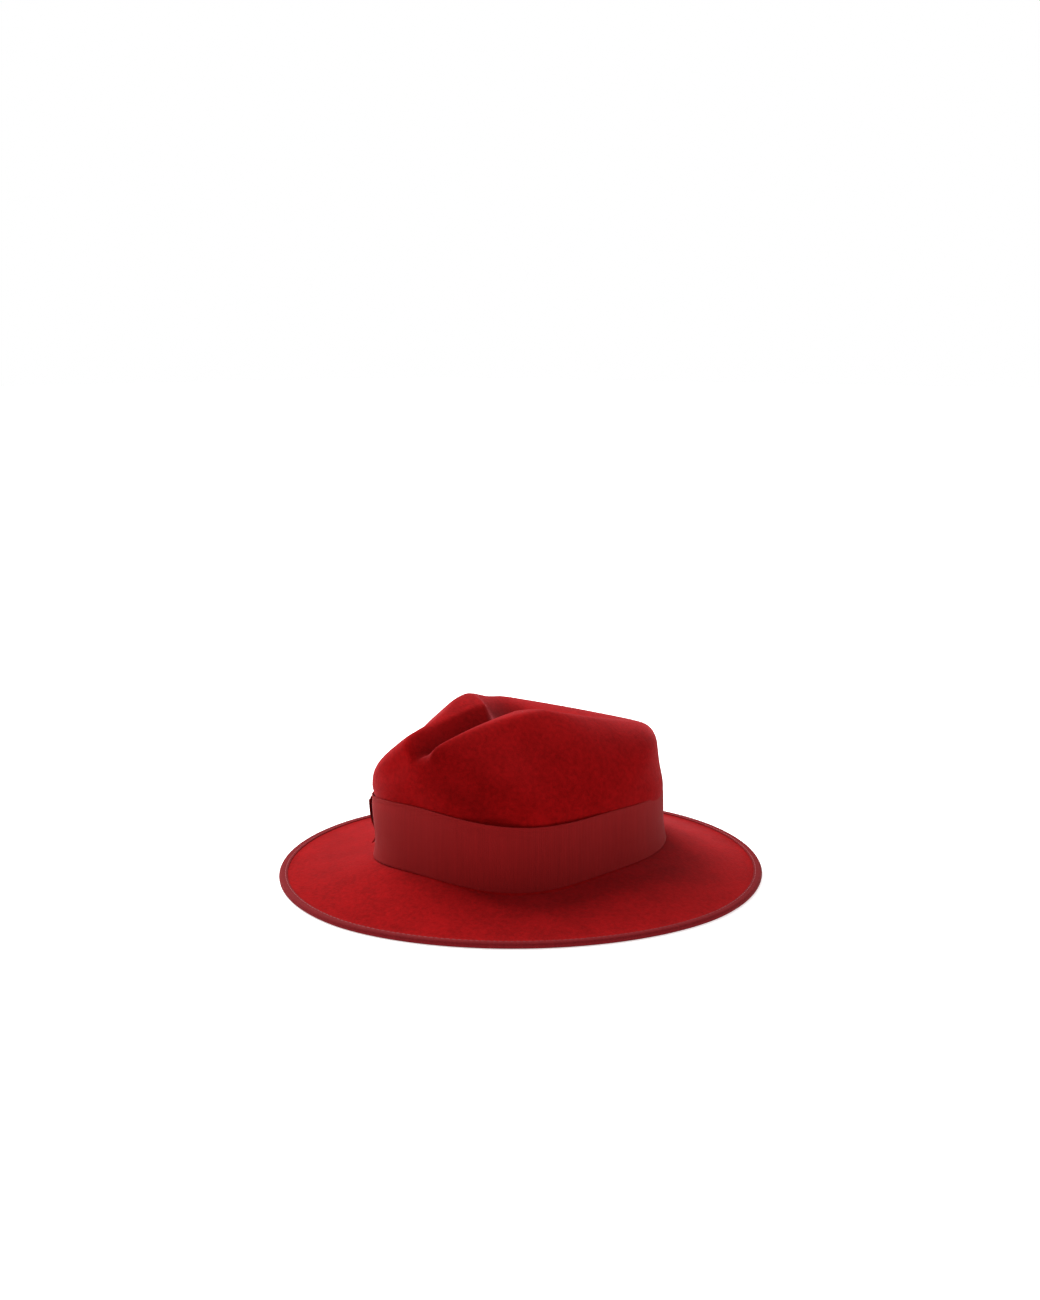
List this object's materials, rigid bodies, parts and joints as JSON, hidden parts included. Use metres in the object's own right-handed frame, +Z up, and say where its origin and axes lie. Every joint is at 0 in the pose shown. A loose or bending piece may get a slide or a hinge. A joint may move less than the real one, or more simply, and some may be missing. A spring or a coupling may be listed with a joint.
{
  "type": "wide-brim fedora",
  "caption": "Red felt wide-brim fedora with a pinched teardrop crown, a grosgrain hat band with a flat side bow and a ribbon-bound brim edge.",
  "frame": {"origin": "on the surface that the brim rests on, under the middle of the brim", "axes": "+Z up through the crown, -Y towards the front of the hat, +X towards the wearer's left"},
  "size_m": [0.32, 0.328, 0.1149],
  "materials": {
    "felt": "matte felted wool with a short nap",
    "band_ribbon": "matte grosgrain with fine upright ribs",
    "binding_ribbon": "matte fine grosgrain, folded over the edge and sewn"
  },
  "bodies": {
    "root": {"felt_body": "felt", "hat_band": "band_ribbon", "brim_binding": "binding_ribbon", "bow_front_loop": "band_ribbon", "bow_back_loop": "band_ribbon", "bow_knot": "band_ribbon"}
  },
  "joints": []
}
